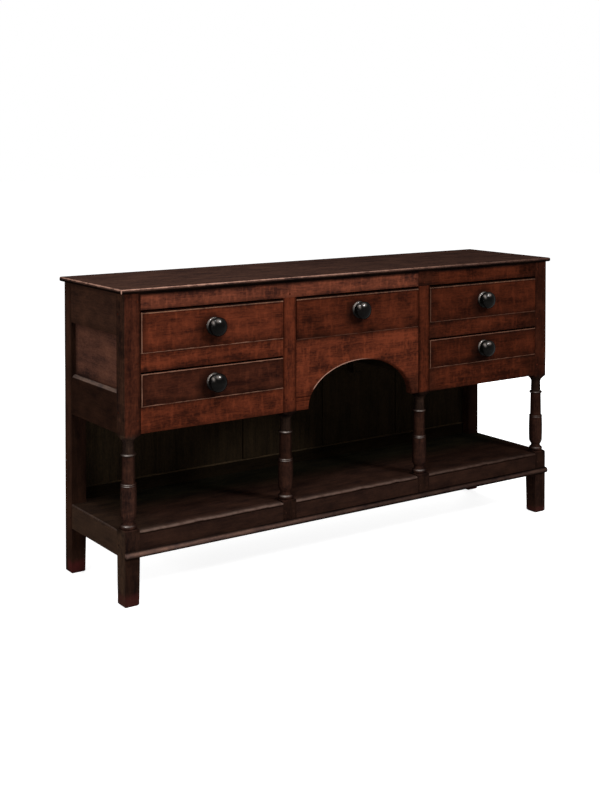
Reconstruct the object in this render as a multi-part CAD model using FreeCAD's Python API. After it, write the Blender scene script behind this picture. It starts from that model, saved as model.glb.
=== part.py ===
import FreeCAD, Part
import os

# Dresser base with five drawers above an open pot board.
# Millimetres. +X right, +Y back, +Z up. The origin is under the middle of the whole piece, on the floor.

# Overall
overall_height = 860.0
top_thickness = 13.0
case_depth = 380.0
top_side_overhang = 12.0
top_front_overhang = 8.0
top_back_overhang = 8.0
nosing_radius = 4.5
top_front_board_share = 0.55

# Posts
post_width = 50.0
post_depth = 46.0
block = 46.0
stile_width = 46.0
rear_post = 45.0
foot_taper = 2.5
foot_chamfer = 2.0

# Bays and levels
bay_width = 462.0
shelf_rail_bottom = 132.5
shelf_top = 203.0
frieze_height = 381.0
bottom_rail_height = 71.0
lower_opening = 95.0
drawer_rail_height = 50.0
top_rail_height = 47.0
middle_opening = 127.0

# Rails and joints
rail_thickness = 25.0
tenon_thickness = 8.0
tenon_length = 20.0
tenon_shoulder = 8.0
tenon_set_back = 8.5
peg_radius = 3.5
peg_flats = 4
peg_length = 14.0
peg_proud = 0.8
peg_offset = 10.0
housing_depth = 6.0

# Arch
arch_half_span = 195.0
arch_rise = 126.0
arch_offset = 9.0
arch_chamfer = 3.0

# Side frames
side_top_rail_height = 115.0
side_bottom_rail_height = 114.0
panel_thickness = 9.0
panel_recess = 13.5
panel_tongue = 6.0
side_chamfer = 9.0

# Shelf
pot_board_thickness = 10.0
pot_board_front_share = 0.5
pot_board_round = 2.5
moulding_height = 18.5
moulding_proud = 12.0
moulding_flat = 4.0
moulding_short_length = 244.0
ledger_size = 20.0

# Back frame
back_thickness = 18.0
back_bottom_rail_top = 243.0
back_top_rail_height = 70.0
back_rail_tenon = 6.0
back_panel_thickness = 8.0
back_chamfer = 6.0
muntin_width = 64.0
muntin_count = 4

# Inside the case
bearer_depth = 25.0
bearer_height = 40.0
runner_width = 22.0
runner_height = 20.0
guide_height = 20.0
kicker_height = 20.0
top_block_size = 20.0
top_block_length = 60.0

# Drawers
drawer_side_clearance = 1.5
drawer_top_gap = 5.5
drawer_running_clearance = 0.3
drawer_back_gap = 3.0
drawer_front_thickness = 20.0
drawer_lap = 6.0
drawer_side_thickness = 9.0
drawer_side_drop = 3.0
drawer_bottom_thickness = 6.0
drawer_bottom_raise = 8.0
drawer_groove = 4.0
tail_share = 0.62
tail_slope = 6.0
tail_pitch = 38.0
bead_width = 3.6
bead_proud = 2.4
bead_bevel = 1.1

# Knob
knob_projection = 36.0
knob_flange_radius = 26.0
knob_flange_thickness = 5.0
knob_neck_radius = 14.0
knob_neck_height = 6.0
knob_head_radius = 27.0
knob_rim_height = 9.0
knob_rim_round = 4.0
knob_dome_height = 7.0
knob_tip_radius = 9.0
knob_spigot_radius = 7.0
knob_spigot_clearance = 0.15
knob_spigot_length = 24.0
middle_knob_raise = 11.0

# Turned part of the legs: heights of its members, from the block up
pommel_height = 5.0
torus_height = 13.0
hollow_height = 8.0
barrel_foot_height = 13.0
bead_height = 5.0
ring_height = 9.0
square_end_height = 19.0
# Barrel and shaft share the length that these leave, and the neck takes the rest of it
barrel_share = 0.409
shaft_share = 0.387
# Radii of the same members
torus_radius = 22.2
torus_foot_radius = 18.5
hollow_radius = 15.0
barrel_radius = 22.2
bead_radius = 21.6
bead_root_radius = 19.8
shaft_radius = 17.9
ring_radius = 21.4
neck_radius = 15.6

# How near to a plane an edge lies to count as in it
touch = 0.01

V = FreeCAD.Vector
os.makedirs("parts", exist_ok=True)

# Levels and planes worked out from the sizes above
case_top = overall_height - top_thickness
case_width = 2 * post_width + 3 * bay_width + 2 * stile_width
left_face = -case_width / 2
right_face = case_width / 2
front_face = knob_projection - (knob_projection + case_depth + top_back_overhang) / 2
back_face = front_face + case_depth
back_plane = back_face - back_thickness
shelf_rail_top = shelf_top - pot_board_thickness
frieze_bottom = case_top - frieze_height
lower_opening_bottom = frieze_bottom + bottom_rail_height
drawer_rail_bottom = lower_opening_bottom + lower_opening
upper_opening_bottom = drawer_rail_bottom + drawer_rail_height
opening_top = case_top - top_rail_height
middle_opening_bottom = opening_top - middle_opening
stile_centre = bay_width / 2 + stile_width / 2
bay_outer = case_width / 2 - post_width
bay_inner = stile_centre + stile_width / 2
half_middle = bay_width / 2
half_block = block / 2
post_end = frieze_bottom - square_end_height

# What is cut from each piece (mortises, housings, grooves, peg holes), by piece name
cuts = {}
# Finished solids of each node
nodes = {}


def box(x0, x1, y0, y1, z0, z1):
    low = V(min(x0, x1), min(y0, y1), min(z0, z1))
    return Part.makeBox(abs(x1 - x0), abs(y1 - y0), abs(z1 - z0), low)


def mid(a, b):
    return (a + b) / 2


def prism(points, along):
    corners = [V(*p) for p in points]
    return Part.Face(Part.makePolygon(corners + corners[:1])).extrude(V(*along))


def arc(a, b, c):
    return Part.Arc(V(*a), V(*b), V(*c)).toShape()


def line(a, b):
    return Part.makeLine(V(*a), V(*b))


def cut_from(name, shape):
    cuts.setdefault(name, []).append(shape)


def worked(name, shape):
    """The piece with its own mortises, housings, grooves and holes cut."""
    if name in cuts:
        shape = shape.cut(cuts[name])
    return shape.removeSplitter()


def add(node, shape):
    for solid in shape.Solids:
        nodes.setdefault(node, []).append(solid)


def edges_where(shape, test):
    return [e for e in shape.Edges if test(e.BoundBox)]


def peg(base, way, *hosts):
    """A whittled peg with flats, from the face at base along way. Its hole is cut from each host."""
    direction = V(*way)
    start = V(*base)
    across = V(0, 0, peg_radius)
    rim = [FreeCAD.Rotation(direction, 360.0 * i / peg_flats).multVec(across) for i in range(peg_flats + 1)]
    section = Part.Face(Part.makePolygon([start + r for r in rim]))
    hole = section.extrude(direction * peg_length)
    for host in hosts:
        cut_from(host, hole)
    add("joint_pegs", hole.fuse(section.extrude(direction * -peg_proud)).removeSplitter())


def rail_x(name, x0, x1, z0, z1, left_host, right_host, peg_levels):
    """A front rail between two uprights, with a tenon and pegs at each end that has a host."""
    rail = box(x0, x1, front_face, front_face + rail_thickness, z0, z1)
    y0 = front_face + tenon_set_back
    y1 = y0 + tenon_thickness
    for end, sign, host in ((x0, -1, left_host), (x1, 1, right_host)):
        if host:
            tenon = box(end, end + sign * tenon_length, y0, y1, z0 + tenon_shoulder, z1 - tenon_shoulder)
            rail = rail.fuse(tenon)
            cut_from(host, tenon)
            for z in peg_levels:
                peg((end + sign * peg_offset, front_face, z), (0, 1, 0), host, name)
    return rail


def rail_y(name, side, y0, y1, z0, z1, front_host, rear_host, peg_levels):
    """A side rail between a front and a rear post. side is -1 on the left and 1 on the right."""
    face = side * case_width / 2
    rail = box(face, face - side * rail_thickness, y0, y1, z0, z1)
    x0 = face - side * tenon_set_back
    x1 = x0 - side * tenon_thickness
    for end, sign, host in ((y0, -1, front_host), (y1, 1, rear_host)):
        tenon = box(x0, x1, end, end + sign * tenon_length, z0 + tenon_shoulder, z1 - tenon_shoulder)
        rail = rail.fuse(tenon)
        cut_from(host, tenon)
        for z in peg_levels:
            peg((face, end + sign * peg_offset, z), (-side, 0, 0), host, name)
    return rail


def turned(outline):
    """A solid of revolution about Z from (radius, height) points, closed along the axis."""
    points = [V(0, 0, outline[0][1])] + [V(r, 0, z) for r, z in outline] + [V(0, 0, outline[-1][1])]
    return Part.Face(Part.makePolygon(points + points[:1])).revolve(V(0, 0, 0), V(0, 0, 1), 360)


def turning(x, y, low_corner, high_corner):
    """The lathe's cut between block and upper square: it takes the corners off both, and all between.

    Each curve is drawn with the one or two straight cuts nearest to it."""
    ends = pommel_height + square_end_height
    small = torus_height + hollow_height + barrel_foot_height + 2 * bead_height + ring_height
    free = frieze_bottom - shelf_top - ends - small
    torus = shelf_top + pommel_height
    hollow = torus + torus_height
    foot = hollow + hollow_height
    barrel = foot + barrel_foot_height
    beads = barrel + free * barrel_share
    shaft = beads + 2 * bead_height
    ring = shaft + free * shaft_share
    neck = ring + ring_height
    outline = [
        (low_corner, shelf_top),
        (torus_foot_radius, torus),
        (torus_radius, mid(torus, hollow)),
        (hollow_radius, foot),
        (barrel_radius, barrel),
        (barrel_radius, beads),
        (bead_root_radius, beads),
        (bead_radius, beads + bead_height / 2),
        (bead_root_radius, beads + bead_height),
        (bead_radius, beads + bead_height * 1.5),
        (shaft_radius, shaft),
        (shaft_radius, ring),
        (ring_radius, mid(ring, neck)),
        (neck_radius, neck),
        (neck_radius, post_end),
        (high_corner, frieze_bottom),
    ]
    cut = turned(outline)
    cut.translate(V(x, y, 0))
    return cut


def corner_distance(x, y, x0, x1, y0, y1):
    across = max(abs(x0 - x), abs(x1 - x))
    along = max(abs(y0 - y), abs(y1 - y))
    return (across * across + along * along) ** 0.5


def leg_post(x, x0, x1, depth, foot_x0, foot_x1, foot_z, head_z):
    """A post square at the top, turned from the shelf to the frieze, and square again at the bottom."""
    y = front_face + half_block
    y1 = front_face + depth
    low = corner_distance(x, y, foot_x0, foot_x1, front_face, front_face + block)
    high = corner_distance(x, y, x0, x1, front_face, y1)
    upper = box(x0, x1, front_face, y1, frieze_bottom, head_z)
    lower = box(foot_x0, foot_x1, front_face, front_face + block, foot_z, shelf_top)
    between = box(x0, x1, front_face, y1, shelf_top + pommel_height, frieze_bottom)
    pommel = box(foot_x0, foot_x1, front_face, front_face + block, shelf_top, shelf_top + pommel_height)
    shaft = between.fuse(pommel).common(turning(x, y, low, high))
    return upper.fuse([shaft, lower])


def taper_foot(post, x_in, x_way, y_in, y_way):
    """Planes the two inner faces of a foot to a slight taper, and takes the arris off at the floor."""
    over = case_depth
    for_x = prism(
        [(x_in, -over, shelf_rail_bottom), (x_in, -over, 0), (x_in - x_way * foot_taper, -over, 0)],
        (0, 2 * over, 0),
    )
    wide = case_width
    for_y = prism(
        [(-wide, y_in, shelf_rail_bottom), (-wide, y_in, 0), (-wide, y_in - y_way * foot_taper, 0)],
        (2 * wide, 0, 0),
    )
    post = post.cut([for_x, for_y]).removeSplitter()
    floor_edges = edges_where(post, lambda b: b.ZMax < touch)
    return post.makeChamfer(foot_chamfer, floor_edges)


def tails(x0, x1, z0, z1, y_root, y_tip):
    """Dovetails of a drawer side: wide at the tip, narrow at the root, as thick as the side."""
    count = max(2, round((z1 - z0) / tail_pitch))
    pitch = (z1 - z0) / count
    wide = pitch * tail_share / 2
    narrow = wide - abs(y_tip - y_root) / tail_slope
    made = []
    for i in range(count):
        z = z0 + pitch * (i + 0.5)
        outline = [
            (x0, y_root, z - narrow),
            (x0, y_tip, z - wide),
            (x0, y_tip, z + wide),
            (x0, y_root, z + narrow),
        ]
        made.append(prism(outline, (x1 - x0, 0, 0)))
    return made


def knob(x, y, z):
    """A turned knob: a flat flange, a hollow neck and a domed head, on a spigot through the front."""
    dome = knob_projection - knob_dome_height
    rim = dome - knob_rim_height
    neck = knob_flange_thickness + knob_neck_height
    outline = [
        (knob_spigot_radius, -knob_spigot_length),
        (knob_spigot_radius, 0),
        (knob_flange_radius, 0),
        (knob_flange_radius, knob_flange_thickness),
        (knob_neck_radius, neck),
        (knob_head_radius, rim),
        (knob_head_radius - knob_rim_round, dome),
        (knob_tip_radius, knob_projection),
    ]
    made = turned(outline)
    made.rotate(V(0, 0, 0), V(1, 0, 0), 90)
    made.translate(V(x, y, z))
    return made


def bead_ring(x0, x1, z0, z1):
    """The bead round the edge of a drawer front, with its front edges taken off."""
    y0 = front_face
    y1 = front_face - bead_proud
    outer = box(x0, x1, y0, y1, z0, z1)
    inner = box(x0 + bead_width, x1 - bead_width, y0, y1, z0 + bead_width, z1 - bead_width)
    ring = outer.cut(inner)
    proud_edges = edges_where(ring, lambda b: b.YMax < y1 + touch)
    return ring.makeChamfer(bead_bevel, proud_edges)


def drawer(name, open_x0, open_x1, open_z0, open_z1, knob_raise):
    x0 = open_x0 + drawer_side_clearance
    x1 = open_x1 - drawer_side_clearance
    z0 = open_z0 + drawer_running_clearance
    z1 = open_z1 - drawer_top_gap
    y_front = front_face + drawer_front_thickness
    y_back = back_plane - bearer_depth - drawer_back_gap
    y_back_in = y_back - drawer_side_thickness
    side_top = z1 - drawer_side_drop
    bottom_z0 = z0 + drawer_bottom_raise
    bottom_z1 = bottom_z0 + drawer_bottom_thickness
    in_x0 = x0 + drawer_side_thickness
    in_x1 = x1 - drawer_side_thickness
    groove_x0 = in_x0 - drawer_groove
    groove_x1 = in_x1 + drawer_groove
    bottom = box(groove_x0, groove_x1, y_front - drawer_groove, y_back, bottom_z0, bottom_z1)
    front = box(x0, x1, front_face, y_front, z0, z1).fuse(bead_ring(x0, x1, z0, z1))
    back = box(x0, x1, y_back_in, y_back, bottom_z1, side_top)
    sides = []
    for outer, inner in ((x0, in_x0), (x1, in_x1)):
        low, high = min(outer, inner), max(outer, inner)
        front_tails = tails(low, high, z0, side_top, y_front, front_face + drawer_lap)
        rear_tails = tails(low, high, bottom_z1, side_top, y_back_in, y_back)
        plank = box(low, high, y_front, y_back_in, z0, side_top)
        under = box(low, high, y_back_in, y_back, z0, bottom_z1)
        side = plank.fuse([under] + front_tails + rear_tails)
        sides.append(side.cut(bottom).removeSplitter())
        front = front.cut(front_tails)
        back = back.cut(rear_tails)
    x = (x0 + x1) / 2
    z = (z0 + z1) / 2 + knob_raise
    hole_radius = knob_spigot_radius + knob_spigot_clearance
    hole = Part.makeCylinder(hole_radius, drawer_front_thickness, V(x, front_face, z), V(0, 1, 0))
    add("drawer_" + name + "_front", front.cut([bottom, hole]).removeSplitter())
    for side in sides:
        add("drawer_" + name + "_sides", side)
    add("drawer_" + name + "_back", back.removeSplitter())
    add("drawer_" + name + "_bottom", bottom)
    add("drawer_" + name + "_knob", knob(x, front_face, z))


# Front frame
splice_rail = rail_x(
    "front_top_rail_right", half_middle, bay_outer, opening_top, case_top,
    "front_top_rail_left", "post_front_right", [mid(opening_top, case_top)],
)
long_rail = rail_x(
    "front_top_rail_left", -bay_outer, half_middle, opening_top, case_top,
    "post_front_left", None, [mid(opening_top, case_top)],
)
drawer_rails = {}
bottom_rails = {}
for side, word in ((-1, "left"), (1, "right")):
    ends = sorted((side * bay_inner, side * bay_outer))
    hosts = ["post_middle_" + word, "post_front_" + word][::side]
    drawer_rails[word] = rail_x(
        "drawer_rail_" + word, ends[0], ends[1], drawer_rail_bottom, upper_opening_bottom,
        hosts[0], hosts[1], [mid(drawer_rail_bottom, upper_opening_bottom)],
    )
    bottom_rails[word] = rail_x(
        "bottom_rail_" + word, ends[0], ends[1], frieze_bottom, lower_opening_bottom,
        hosts[0], hosts[1], [mid(frieze_bottom, lower_opening_bottom)],
    )
apron_peg_levels = [frieze_bottom + bottom_rail_height / 2, middle_opening_bottom - drawer_rail_height / 2]
apron = rail_x(
    "arch_apron", -half_middle, half_middle, frieze_bottom, middle_opening_bottom,
    "post_middle_left", "post_middle_right", apron_peg_levels,
)
springing = V(arch_offset, front_face, frieze_bottom)
ellipse = Part.Ellipse(springing + V(arch_half_span, 0, 0), springing + V(0, 0, arch_rise), springing)
arch_face = Part.Face(Part.Wire(ellipse.toShape()))
apron = apron.cut(arch_face.extrude(V(0, rail_thickness, 0)))
arch_edges = edges_where(
    apron,
    lambda b: b.YMax < front_face + touch and abs(b.ZMax - frieze_bottom - arch_rise) < arch_chamfer,
)
apron = apron.makeChamfer(arch_chamfer, arch_edges)

# Shelf rails
moulding_top = shelf_rail_bottom + moulding_height
shelf_ends = [left_face + block, -stile_centre - half_block, -stile_centre + half_block]
shelf_ends += [-x for x in reversed(shelf_ends)]
shelf_hosts = ["post_front_left", "post_middle_left", "post_middle_right", "post_front_right"]
shelf_rails = []
for i in range(3):
    shelf_rails.append(
        rail_x(
            "shelf_front_rail_%d" % i, shelf_ends[2 * i], shelf_ends[2 * i + 1],
            shelf_rail_bottom, shelf_rail_top, shelf_hosts[i], shelf_hosts[i + 1],
            [mid(moulding_top, shelf_rail_top)],
        )
    )

# Side frames
panel_bottom = frieze_bottom + side_bottom_rail_height
panel_top = case_top - side_top_rail_height
side_front = front_face + post_depth
side_rear = back_face - rear_post
side_rails = []
for side, word in ((-1, "left"), (1, "right")):
    face = side * case_width / 2
    front_host = "post_front_" + word
    rear_host = "post_rear_" + word
    top_name = "side_top_rail_" + word
    bottom_name = "side_bottom_rail_" + word
    shelf_name = "shelf_side_rail_" + word
    top_rail = rail_y(
        top_name, side, side_front, side_rear, panel_top, case_top, front_host, rear_host,
        [mid(panel_top, case_top)],
    )
    bottom_rail = rail_y(
        bottom_name, side, side_front, side_rear, frieze_bottom, panel_bottom, front_host, rear_host,
        [mid(frieze_bottom, panel_bottom)],
    )
    chamfer = prism(
        [
            (face, side_front, panel_bottom - side_chamfer),
            (face, side_front, panel_bottom),
            (face - side * side_chamfer, side_front, panel_bottom),
        ],
        (0, side_rear - side_front, 0),
    )
    bottom_rail = bottom_rail.cut(chamfer)
    shelf_rail = rail_y(
        shelf_name, side, front_face + block, side_rear, shelf_rail_bottom, shelf_rail_top,
        front_host, rear_host, [mid(shelf_rail_bottom, shelf_rail_top)],
    )
    x0 = face - side * panel_recess
    panel = box(
        x0, x0 - side * panel_thickness, side_front - panel_tongue, side_rear + panel_tongue,
        panel_bottom - panel_tongue, panel_top + panel_tongue,
    )
    for host in (front_host, rear_host, top_name, bottom_name):
        cut_from(host, panel)
    add("side_panel_" + word, panel)
    side_rails += [
        ("side_top_rails", top_name, top_rail),
        ("side_bottom_rails", bottom_name, bottom_rail),
        ("shelf_side_rails", shelf_name, shelf_rail),
    ]

# Back frame
rear_in = case_width / 2 - rear_post
back_tenon_y0 = back_face - back_thickness / 2 - back_rail_tenon / 2
back_tenon_y1 = back_tenon_y0 + back_rail_tenon
back_top_rail_bottom = case_top - back_top_rail_height
back_rails = {}
for name, z0, z1 in (
    ("back_bottom_rail", shelf_rail_bottom, back_bottom_rail_top),
    ("back_top_rail", back_top_rail_bottom, case_top),
):
    rail = box(-rear_in, rear_in, back_plane, back_face, z0, z1)
    for sign, host in ((-1, "post_rear_left"), (1, "post_rear_right")):
        tenon = box(
            sign * rear_in, sign * (rear_in + tenon_length), back_tenon_y0, back_tenon_y1,
            z0 + tenon_shoulder, z1 - tenon_shoulder,
        )
        rail = rail.fuse(tenon)
        cut_from(host, tenon)
    back_rails[name] = rail
lip = prism(
    [
        (-rear_in, back_plane, back_bottom_rail_top - back_chamfer),
        (-rear_in, back_plane, back_bottom_rail_top),
        (-rear_in, back_plane + back_chamfer, back_bottom_rail_top),
    ],
    (2 * rear_in, 0, 0),
)
panel_count = muntin_count + 1
back_panel_width = (2 * rear_in - muntin_count * muntin_width) / panel_count
panel_y0 = back_face - back_thickness / 2 - back_panel_thickness / 2
for i in range(panel_count):
    x0 = -rear_in + i * (back_panel_width + muntin_width)
    x1 = x0 + back_panel_width
    panel = box(
        x0 - panel_tongue, x1 + panel_tongue, panel_y0, panel_y0 + back_panel_thickness,
        back_bottom_rail_top - panel_tongue, back_top_rail_bottom + panel_tongue,
    )
    add("back_panels", panel)
    left = "back_muntin_%d" % (i - 1) if i else "post_rear_left"
    right = "back_muntin_%d" % i if i < muntin_count else "post_rear_right"
    for host in (left, right, "back_bottom_rail", "back_top_rail"):
        cut_from(host, panel)
muntins = []
for i in range(muntin_count):
    x0 = -rear_in + (i + 1) * back_panel_width + i * muntin_width
    x1 = x0 + muntin_width
    muntin = box(x0, x1, back_plane, back_face, back_bottom_rail_top, back_top_rail_bottom)
    for end, sign, host in (
        (back_bottom_rail_top, -1, "back_bottom_rail"),
        (back_top_rail_bottom, 1, "back_top_rail"),
    ):
        tenon = box(
            x0 + tenon_shoulder, x1 - tenon_shoulder, back_tenon_y0, back_tenon_y1,
            end, end + sign * tenon_length,
        )
        muntin = muntin.fuse(tenon)
        cut_from(host, tenon)
    muntins.append(muntin)

# Bearers, runners, guides and kickers
bearer_front = back_plane - bearer_depth
bearer_tenon_y0 = bearer_front + tenon_set_back
for top in (lower_opening_bottom - runner_height, upper_opening_bottom - runner_height):
    for sign, host in ((-1, "post_rear_left"), (1, "post_rear_right")):
        low = top - bearer_height
        bearer = box(sign * rear_in, sign * half_middle, bearer_front, back_plane, low, top)
        tenon = box(
            sign * rear_in, sign * (rear_in + tenon_length), bearer_tenon_y0,
            bearer_tenon_y0 + tenon_thickness, low + tenon_shoulder, top - tenon_shoulder,
        )
        cut_from(host, tenon)
        add("back_bearers", bearer.fuse(tenon).removeSplitter())
top = middle_opening_bottom - runner_height
add("back_bearers", box(-half_middle, half_middle, bearer_front, back_plane, top - bearer_height, top))

rail_back = front_face + rail_thickness
kicker_top = opening_top + kicker_height
openings = []
for side, word in ((-1, "left"), (1, "right")):
    ends = sorted((side * bay_inner, side * bay_outer))
    openings += [
        ("upper_" + word, ends[0], ends[1], upper_opening_bottom, opening_top, "drawer_rail_" + word),
        ("lower_" + word, ends[0], ends[1], lower_opening_bottom, drawer_rail_bottom, "bottom_rail_" + word),
    ]
openings.append(("middle", -half_middle, half_middle, middle_opening_bottom, opening_top, "arch_apron"))
for name, x0, x1, z0, z1, host in openings:
    drawer(name, x0, x1, z0, z1, middle_knob_raise if name == "middle" else 0)
    for edge, inward in ((x0, 1), (x1, -1)):
        far = edge + inward * runner_width
        runner = box(edge, far, rail_back - housing_depth, back_plane, z0 - runner_height, z0)
        cut_from(host, runner)
        add("drawer_runners", runner)
        if z1 == opening_top:
            over = "front_top_rail_right" if mid(edge, far) > half_middle else "front_top_rail_left"
            kicker = box(
                edge, far, rail_back - housing_depth, back_plane + housing_depth,
                opening_top, kicker_top,
            )
            cut_from(over, kicker)
            cut_from("back_top_rail", kicker)
            add("drawer_kickers", kicker)
for side, word in ((-1, "left"), (1, "right")):
    for level in (lower_opening_bottom, upper_opening_bottom):
        seat = level - runner_height
        top = level + guide_height
        outer = box(
            side * bay_outer, side * (case_width / 2 - rail_thickness),
            side_front - housing_depth, side_rear + housing_depth, seat, top,
        )
        cut_from("post_front_" + word, outer)
        cut_from("post_rear_" + word, outer)
        add("drawer_guides", outer)
        inner = box(
            side * half_middle, side * bay_inner,
            front_face + block - housing_depth, back_plane, seat, top,
        )
        cut_from("post_middle_" + word, inner)
        add("drawer_guides", inner)

# Posts
for side, word in ((-1, "left"), (1, "right")):
    face = side * case_width / 2
    x = face - side * half_block
    inner = face - side * post_width
    foot_inner = face - side * block
    name = "post_front_" + word
    post = leg_post(
        x, min(face, inner), max(face, inner), post_depth,
        min(face, foot_inner), max(face, foot_inner), 0, case_top,
    )
    post = taper_foot(post, foot_inner, -side, front_face + block, 1)
    add(name, worked(name, post))
    name = "post_rear_" + word
    rear_inner = face - side * rear_post
    post = box(face, rear_inner, side_rear, back_face, 0, case_top)
    post = taper_foot(post, rear_inner, -side, side_rear, -1)
    add(name, worked(name, post))
    name = "post_middle_" + word
    x = side * stile_centre
    half = stile_width / 2
    post = leg_post(
        x, x - half, x + half, block, x - half_block, x + half_block, shelf_rail_bottom, opening_top,
    )
    tenon = box(
        x - half + tenon_shoulder, x + half - tenon_shoulder, front_face + tenon_set_back,
        front_face + tenon_set_back + tenon_thickness, opening_top, opening_top + tenon_length,
    )
    over = "front_top_rail_right" if side > 0 else "front_top_rail_left"
    cut_from(over, tenon)
    peg((x, front_face, opening_top + peg_offset), (0, 1, 0), over, name)
    add(name, worked(name, post.fuse(tenon)))

# Rails and muntins, now that everything that enters them is known
add("front_top_rail_left", worked("front_top_rail_left", long_rail))
add("front_top_rail_right", worked("front_top_rail_right", splice_rail))
for word in ("left", "right"):
    add("drawer_rail_" + word, worked("drawer_rail_" + word, drawer_rails[word]))
    add("bottom_rail_" + word, worked("bottom_rail_" + word, bottom_rails[word]))
add("arch_apron", worked("arch_apron", apron))
for i, rail in enumerate(shelf_rails):
    add("shelf_front_rails", worked("shelf_front_rail_%d" % i, rail))
for node, name, rail in side_rails:
    add(node, worked(name, rail))
add("back_bottom_rail", worked("back_bottom_rail", back_rails["back_bottom_rail"].cut(lip)))
add("back_top_rail", worked("back_top_rail", back_rails["back_top_rail"]))
for i, muntin in enumerate(muntins):
    add("back_muntins", worked("back_muntin_%d" % i, muntin))

# Shelf: ledger, boards and moulding
ledger_front = back_plane - ledger_size
ledger = box(-rear_in, rear_in, ledger_front, back_plane, shelf_rail_top - ledger_size, shelf_rail_top)
add("shelf_ledger", ledger)
shelf_joint = front_face + (back_plane - front_face) * pot_board_front_share
blocks = []
for x in (left_face + half_block, -stile_centre, stile_centre, right_face - half_block):
    blocks.append(
        box(x - half_block, x + half_block, front_face, front_face + block, shelf_rail_bottom, shelf_top)
    )
front_board = box(left_face, right_face, front_face, shelf_joint, shelf_rail_top, shelf_top).cut(blocks)
worn = edges_where(
    front_board,
    lambda b: b.YMax < front_face + touch and b.ZMin > shelf_top - touch,
)
add("pot_board_front", front_board.makeFillet(pot_board_round, worn))
rear_posts = [
    box(left_face, -rear_in, side_rear, back_face, 0, case_top),
    box(rear_in, right_face, side_rear, back_face, 0, case_top),
]
rear_board = box(left_face, right_face, shelf_joint, back_plane, shelf_rail_top, shelf_top).cut(rear_posts)
add("pot_board_rear", rear_board)
moulding_joint = left_face + moulding_short_length
for x0, x1 in ((left_face, moulding_joint), (moulding_joint, right_face)):
    flat = front_face - moulding_flat
    outline = [
        line((x0, front_face, shelf_rail_bottom), (x0, flat, shelf_rail_bottom)),
        arc(
            (x0, flat, shelf_rail_bottom),
            (x0, front_face - moulding_proud, mid(shelf_rail_bottom, moulding_top)),
            (x0, flat, moulding_top),
        ),
        line((x0, flat, moulding_top), (x0, front_face, moulding_top)),
        line((x0, front_face, moulding_top), (x0, front_face, shelf_rail_bottom)),
    ]
    add("base_moulding", Part.Face(Part.Wire(outline)).extrude(V(x1 - x0, 0, 0)))

# Top
top_x0 = left_face - top_side_overhang
top_x1 = right_face + top_side_overhang
top_y0 = front_face - top_front_overhang
top_y1 = back_face + top_back_overhang
top_joint = top_y0 + (top_y1 - top_y0) * top_front_board_share
for name, y0, y1 in (("top_board_front", top_y0, top_joint), ("top_board_rear", top_joint, top_y1)):
    board = box(top_x0, top_x1, y0, y1, case_top, overall_height)
    moulded = edges_where(
        board,
        lambda b: b.ZLength < touch
        and (b.YMax < top_y0 + touch or b.XMin > top_x1 - touch or b.XMax < top_x0 + touch),
    )
    add(name, board.makeFillet(nosing_radius, moulded))

# Blocks in the angle between the top and the rails
inner_stop = bay_inner + runner_width
for sign in (-1, 1):
    x = sign * mid(inner_stop, bay_outer - runner_width)
    half = top_block_length / 2
    for y0, y1 in ((rail_back, rail_back + top_block_size), (back_plane - top_block_size, back_plane)):
        add("top_blocks", box(x - half, x + half, y0, y1, case_top - top_block_size, case_top))
    y = mid(side_front, side_rear)
    x0 = sign * (case_width / 2 - rail_thickness)
    add(
        "top_blocks",
        box(x0, x0 - sign * top_block_size, y - half, y + half, case_top - top_block_size, case_top),
    )
for y0, y1 in ((rail_back, rail_back + top_block_size), (back_plane - top_block_size, back_plane)):
    half = top_block_length / 2
    add("top_blocks", box(-half, half, y0, y1, case_top - top_block_size, case_top))

for node, solids in nodes.items():
    shape = solids[0] if len(solids) == 1 else Part.makeCompound(solids)
    shape.exportStep("parts/" + node + ".step")
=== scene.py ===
import math

import bpy
import numpy as np
from bpy.props import FloatProperty, FloatVectorProperty, IntProperty, PointerProperty
from bpy.types import Operator, Panel, PropertyGroup
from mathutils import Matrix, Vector


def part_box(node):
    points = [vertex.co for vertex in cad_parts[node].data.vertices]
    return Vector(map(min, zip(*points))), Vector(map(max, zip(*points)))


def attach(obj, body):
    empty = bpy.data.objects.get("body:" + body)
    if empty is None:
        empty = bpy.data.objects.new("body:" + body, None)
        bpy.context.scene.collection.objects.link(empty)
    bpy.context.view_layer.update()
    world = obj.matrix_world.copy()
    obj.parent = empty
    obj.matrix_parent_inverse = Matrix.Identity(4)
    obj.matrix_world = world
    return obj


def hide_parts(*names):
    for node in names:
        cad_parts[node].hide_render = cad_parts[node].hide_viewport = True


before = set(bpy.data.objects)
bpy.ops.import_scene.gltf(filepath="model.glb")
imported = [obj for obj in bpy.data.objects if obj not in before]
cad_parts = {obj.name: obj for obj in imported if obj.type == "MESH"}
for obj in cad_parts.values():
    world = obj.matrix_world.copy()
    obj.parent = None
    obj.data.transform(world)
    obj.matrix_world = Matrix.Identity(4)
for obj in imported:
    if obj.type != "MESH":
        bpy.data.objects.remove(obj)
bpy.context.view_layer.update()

# Looks of a dresser base: oak finishes, turned legs and knobs, a worn pot board, and a plain stage.

bl_info = {
    "name": "Dresser base",
    "version": (1, 0, 0),
    "blender": (4, 5, 0),
    "location": "3D View > Sidebar > Dresser",
    "description": "Dresses the packed frame of a dresser base with five drawers over a pot board",
    "category": "Object",
}

POT_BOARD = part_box("pot_board_front")
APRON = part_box("arch_apron")
SHELF_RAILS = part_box("shelf_front_rails")
DRAWERS = ("upper_left", "lower_left", "middle", "upper_right", "lower_right")
# A hair's width: points this near are merged, and the pot board's notches step across twice as much
HAIR = 1e-5
# Edges that bend by more than this stay sharp, or are rubbed down
SHARP = math.radians(38)
# Depth of the thin layer at a face that has a colour of its own, and half the width of the change
SKIN = 0.0012
SKIN_SOFTNESS = 0.0004
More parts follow.
